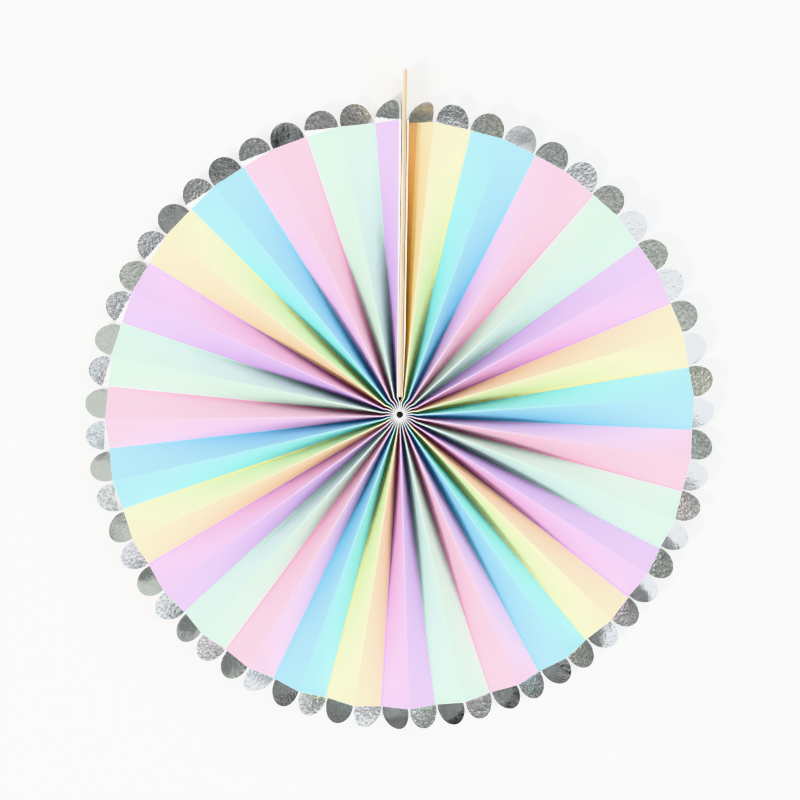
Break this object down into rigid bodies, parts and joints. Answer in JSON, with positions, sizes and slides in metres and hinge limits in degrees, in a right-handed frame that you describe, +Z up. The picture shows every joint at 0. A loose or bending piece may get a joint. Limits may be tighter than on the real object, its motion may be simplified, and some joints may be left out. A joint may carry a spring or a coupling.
{
  "type": "paper fan rosette",
  "caption": "Round wall rosette of one pleated sheet in repeating pastel stripes, with a silver scalloped rim and a stiff hanger strip along its seam.",
  "frame": {"origin": "centre of the hanging hole through both hanger boards", "axes": "+Z up towards the top of the hanger strip, -Y towards the printed front, +X to the right as seen from the front"},
  "size_m": [0.3218, 0.0192, 0.337],
  "materials": {
    "printed_paper": "pastel print with foil on the scallops",
    "greyboard": "plain cut board",
    "adhesive_tape": "clear tape",
    "thread": "spun cotton"
  },
  "bodies": {
    "root": {"pleated_paper": "printed_paper", "left_board": "greyboard", "right_board": "greyboard", "seam_tape": "adhesive_tape", "binding_thread": "thread"}
  },
  "joints": []
}
